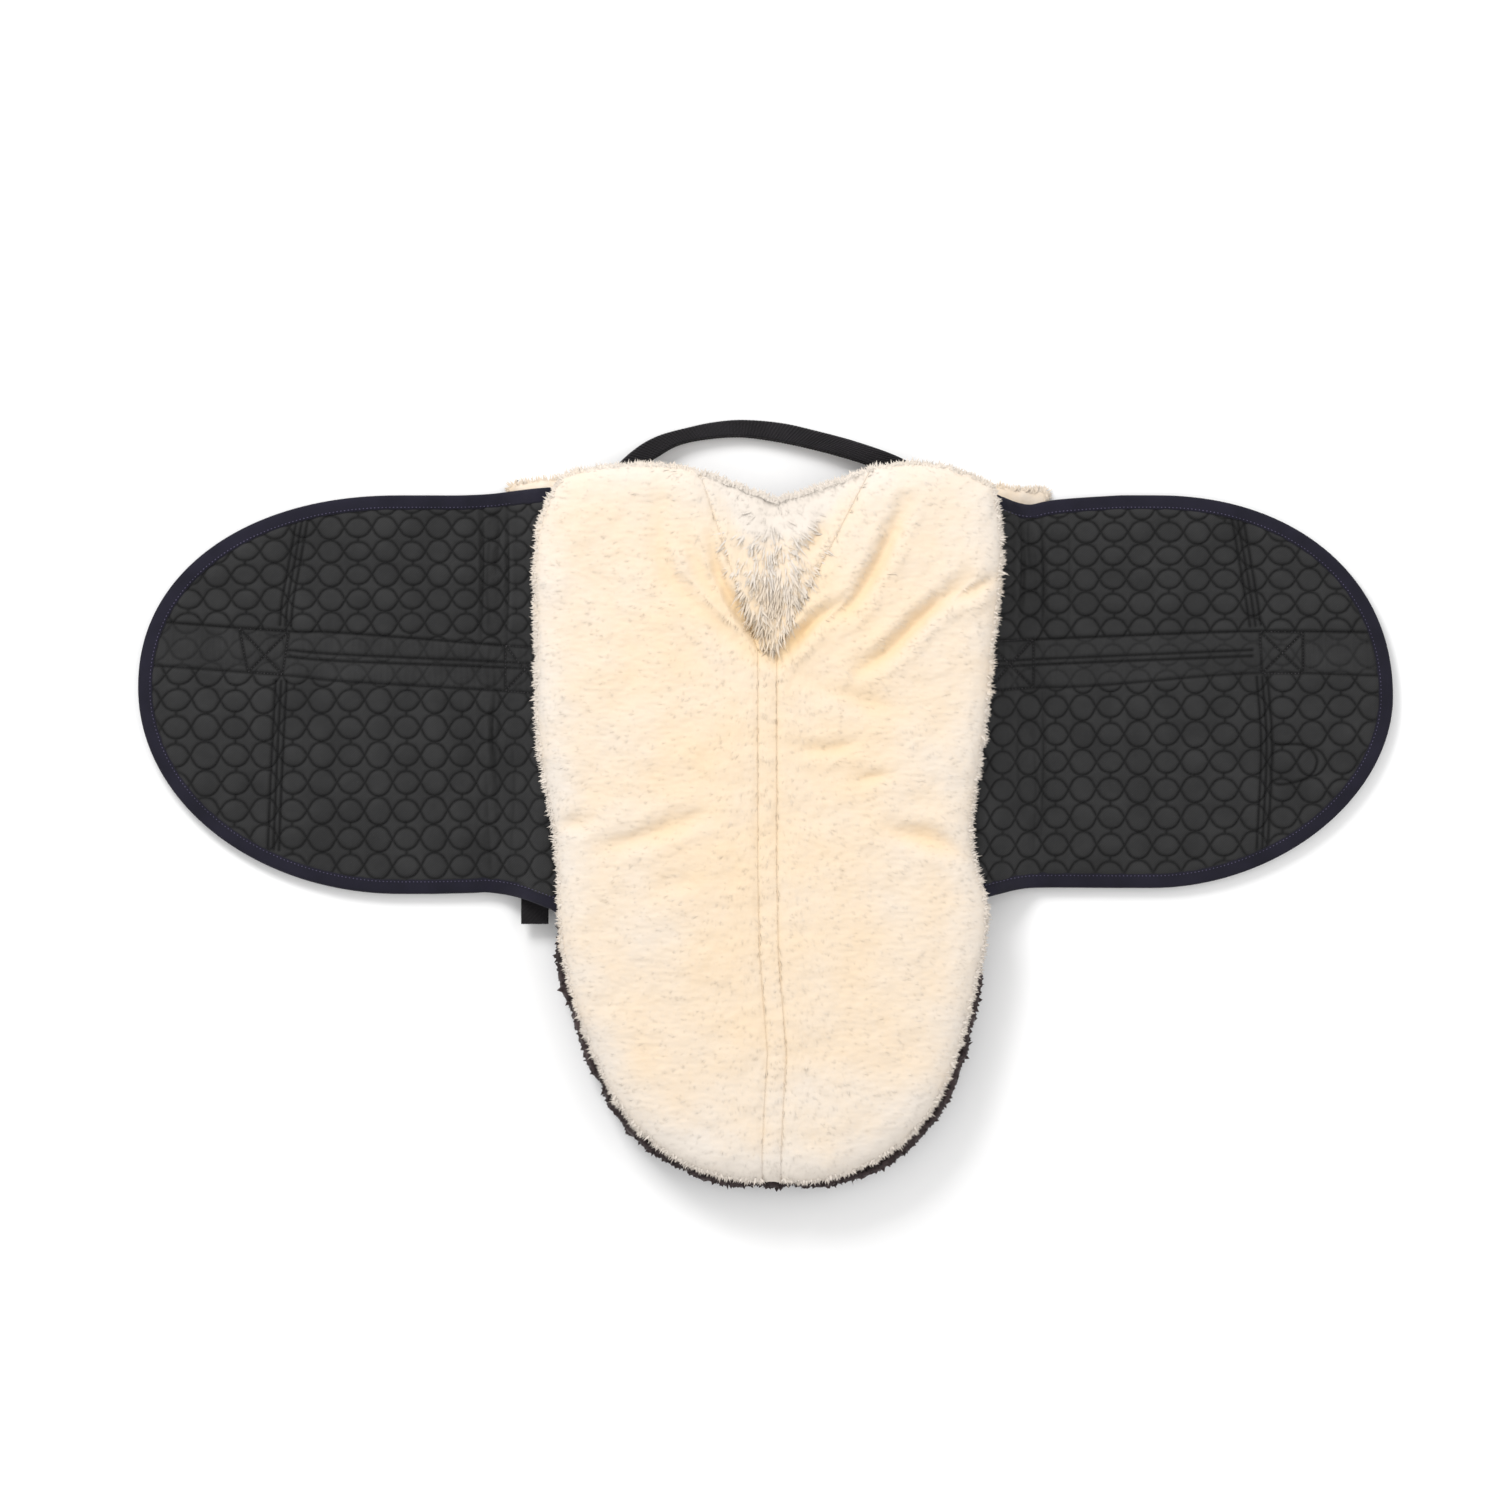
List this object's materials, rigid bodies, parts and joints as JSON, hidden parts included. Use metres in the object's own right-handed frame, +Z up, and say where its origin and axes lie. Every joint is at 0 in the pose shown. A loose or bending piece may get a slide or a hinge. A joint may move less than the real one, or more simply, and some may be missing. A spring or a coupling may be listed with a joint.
{
  "type": "bareback riding pad",
  "caption": "Sheepskin bareback riding pad with quilted cotton flaps, bound edges, lambskin lining, girth billets and a webbing grab handle.",
  "frame": {"origin": "bottom centre of the whole pad's box, on the plane it lies on with its rider side down", "axes": "+X to the pad's right flap as it lies, +Y to its front where the handle is, +Z up, to the side that lies on the horse"},
  "size_m": [1.13, 0.6881, 0.072],
  "materials": {
    "cream_wool": "sheared natural lambskin, dense soft pile",
    "brown_wool": "sheared dark brown sheepskin",
    "foam": "cut foam",
    "quilted_cotton": "matte cotton, quilted in circles",
    "cotton_twill": "matte twill",
    "wadding": "polyester wadding",
    "binding_tape": "woven binding tape, slight sheen",
    "webbing": "ribbed woven webbing",
    "billet_leather": "smooth bridle leather",
    "label_cloth": "plain woven patch"
  },
  "bodies": {
    "seat": {"seat_skin": "brown_wool", "lining_skin_left": "cream_wool", "lining_skin_right": "cream_wool", "spine_strip": "cream_wool", "withers_gusset": "cream_wool", "seat_web": "webbing", "seat_foam_left": "foam", "flap_root_left": "quilted_cotton", "girth_anchor_left": "webbing", "knee_roll_left": "cream_wool", "handle_anchor_left": "webbing", "rear_loop_left": "webbing", "seat_foam_right": "foam", "flap_root_right": "quilted_cotton", "girth_anchor_right": "webbing", "knee_roll_right": "cream_wool", "handle_anchor_right": "webbing", "rear_loop_right": "webbing"},
    "flap_left": {"outer_cotton_left": "cotton_twill", "wadding_left": "wadding", "quilted_face_left": "quilted_cotton", "binding_left": "binding_tape", "girth_web_left": "webbing", "billet_patch_left": "cotton_twill", "billet_roots_left": "billet_leather", "cross_tape_left": "webbing"},
    "flap_right": {"outer_cotton_right": "cotton_twill", "wadding_right": "wadding", "quilted_face_right": "quilted_cotton", "binding_right": "binding_tape", "girth_web_right": "webbing", "billet_patch_right": "cotton_twill", "billet_roots_right": "billet_leather", "cross_tape_right": "webbing", "label_patch": "label_cloth"},
    "handle": {"handle": "webbing"},
    "billet_front_left": {"billet_front_left": "billet_leather"},
    "billet_rear_left": {"billet_rear_left": "billet_leather"},
    "billet_front_right": {"billet_front_right": "billet_leather"},
    "billet_rear_right": {"billet_rear_right": "billet_leather"}
  },
  "joints": [
    {"name": "flap_fold_left", "type": "hinge", "parent": "seat", "child": "flap_left", "pos_m": [-0.245, 0.096, 0.0128], "axis": [0, 1, 0], "range_deg": [0, 80]},
    {"name": "flap_fold_right", "type": "hinge", "parent": "seat", "child": "flap_right", "pos_m": [0.245, 0.096, 0.0128], "axis": [0, -1, 0], "range_deg": [0, 80]},
    {"name": "handle_swing", "type": "hinge", "parent": "seat", "child": "handle", "pos_m": [0, 0.289, 0.0234], "axis": [1, 0, 0], "range_deg": [-65, 60]},
    {"name": "billet_front_left_swing", "type": "hinge", "parent": "flap_left", "child": "billet_front_left", "pos_m": [-0.4753, 0.147, 0.0011], "axis": [0, -1, 0], "range_deg": [0, 90]},
    {"name": "billet_rear_left_swing", "type": "hinge", "parent": "flap_left", "child": "billet_rear_left", "pos_m": [-0.4753, 0.126, 0.0011], "axis": [0, -1, 0], "range_deg": [0, 90]},
    {"name": "billet_front_right_swing", "type": "hinge", "parent": "flap_right", "child": "billet_front_right", "pos_m": [0.4753, 0.1435, 0.0011], "axis": [0, 1, 0], "range_deg": [0, 90]},
    {"name": "billet_rear_right_swing", "type": "hinge", "parent": "flap_right", "child": "billet_rear_right", "pos_m": [0.4753, 0.1225, 0.0011], "axis": [0, 1, 0], "range_deg": [0, 90]}
  ]
}
